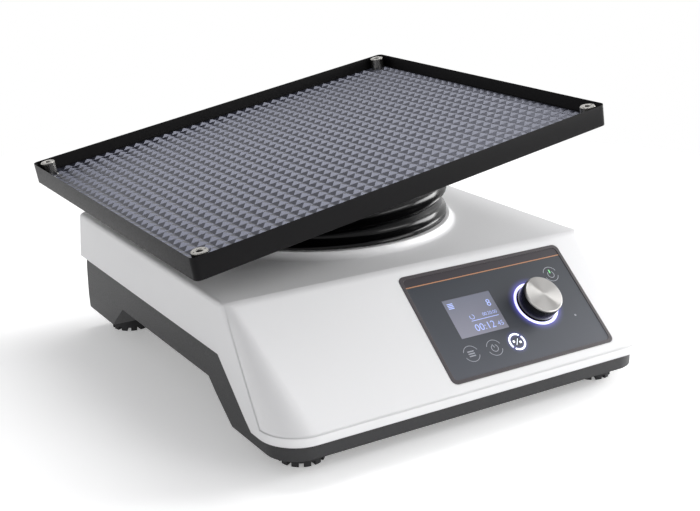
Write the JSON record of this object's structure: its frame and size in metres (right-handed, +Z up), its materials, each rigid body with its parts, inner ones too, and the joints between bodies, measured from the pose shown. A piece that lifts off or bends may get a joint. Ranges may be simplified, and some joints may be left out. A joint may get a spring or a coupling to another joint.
{
  "type": "wave shaker",
  "caption": "Bench shaker with a tilting tray and ribbed mat on a bellows-covered wobble drive, on a wedge-fronted base with a control panel and knob.",
  "frame": {"origin": "under the middle of the whole object's box, on the bench plane", "axes": "+Z up, +Y from the control panel to the back, +X to the right as the panel is read"},
  "size_m": [0.3874, 0.4208, 0.2161],
  "materials": {
    "housing_white": "fine satin moulded ABS",
    "housing_dark": "satin moulded ABS",
    "foot_rubber": "matt black rubber",
    "screw_steel": "zinc-plated steel",
    "chassis_steel": "zinc-plated sheet",
    "machined_steel": "turned steel",
    "bearing_steel": "ground bearing steel",
    "cast_aluminium": "machined aluminium",
    "guide_nylon": "machined nylon",
    "belt_rubber": "smooth belt rubber",
    "motor_can": "black painted steel can",
    "tray_metal": "satin dark grey powder coat",
    "mat_rubber": "matt blue-grey rubber",
    "post_steel": "turned stainless steel",
    "bellows_rubber": "glossy black rubber",
    "panel_foil": "satin printed foil",
    "panel_edge": "satin dark edge",
    "display_glass": "smooth cover glass",
    "board_green": "solder mask",
    "ring_light": "glowing diffuser",
    "knob_black": "gloss black plastic",
    "knob_aluminium": "spun aluminium",
    "inlet_plastic": "moulded black plastic",
    "pin_brass": "nickel-plated brass"
  },
  "bodies": {
    "base": {"upper_housing": "housing_white", "lower_housing": "housing_dark", "rubber_feet": "foot_rubber", "foot_screws": "screw_steel", "housing_screws": "screw_steel", "chassis_plate": "chassis_steel", "chassis_screws": "screw_steel", "centre_axle": "machined_steel", "axle_screws": "screw_steel", "rotor_bearings": "bearing_steel", "drive_belt": "belt_rubber", "motor": "motor_can", "motor_screws": "screw_steel", "guide_post": "chassis_steel", "guide_screws": "screw_steel", "guide_pin": "machined_steel", "front_panel": "panel_foil", "panel_border": "panel_edge", "display": "display_glass", "control_board": "board_green", "light_ring": "ring_light", "knob_seat": "knob_black", "encoder": "knob_black", "encoder_nut": "knob_aluminium", "power_inlet": "inlet_plastic", "inlet_pins": "pin_brass", "inlet_screws": "screw_steel", "switch_frame": "inlet_plastic", "power_supply": "board_green", "supply_posts": "guide_nylon"},
    "rotor": {"drive_rotor": "cast_aluminium", "balance_weight": "machined_steel", "weight_screws": "screw_steel", "tray_bearings": "bearing_steel", "hub_washer": "screw_steel", "hub_screw": "screw_steel", "bellows": "bellows_rubber"},
    "tray": {"tray_carrier": "cast_aluminium", "carrier_screws": "screw_steel", "guide_fork": "guide_nylon", "tray_pan": "tray_metal", "tray_mat": "mat_rubber", "tray_posts": "post_steel", "post_screws": "screw_steel", "bellows_ring": "guide_nylon"},
    "motor_rotor": {"motor_shaft": "machined_steel", "motor_pulley": "cast_aluminium"},
    "knob_plunger": {"encoder_plunger": "guide_nylon"},
    "knob": {"encoder_shaft": "machined_steel", "knob_body": "knob_black", "knob_cap": "knob_aluminium"},
    "switch": {"switch_rocker": "inlet_plastic"}
  },
  "joints": [
    {"name": "rotor_spin", "type": "hinge", "parent": "base", "child": "rotor", "pos_m": [0.00481, 0.04045, 0.1458], "axis": [0, 0, 1], "continuous": true},
    {"name": "tray_swivel", "type": "hinge", "parent": "rotor", "child": "tray", "pos_m": [0.00481, 0.04045, 0.1458], "axis": [-0.1736, 0, 0.9848], "continuous": true},
    {"name": "motor_spin", "type": "hinge", "parent": "base", "child": "motor_rotor", "pos_m": [-0.08719, 0.04045, 0.082], "axis": [0, 0, 1], "continuous": true},
    {"name": "knob_press", "type": "slide", "parent": "base", "child": "knob_plunger", "axis": [0, 0.6357, -0.772], "range_m": [0, 0.0008], "stiffness_N_per_m": 900, "springref_m": -0.002},
    {"name": "knob_turn", "type": "hinge", "parent": "knob_plunger", "child": "knob", "pos_m": [0.09111, -0.16591, 0.06898], "axis": [0, -0.6357, 0.772], "continuous": true},
    {"name": "switch_rock", "type": "hinge", "parent": "base", "child": "switch", "pos_m": [-0.07319, 0.17355, 0.085], "axis": [1, 0, 0], "range_deg": [0, 20]}
  ],
  "couplings": [
    {"joint": "tray_swivel", "follows": "rotor_spin", "ratio": -1},
    {"joint": "motor_spin", "follows": "rotor_spin", "ratio": 3}
  ]
}
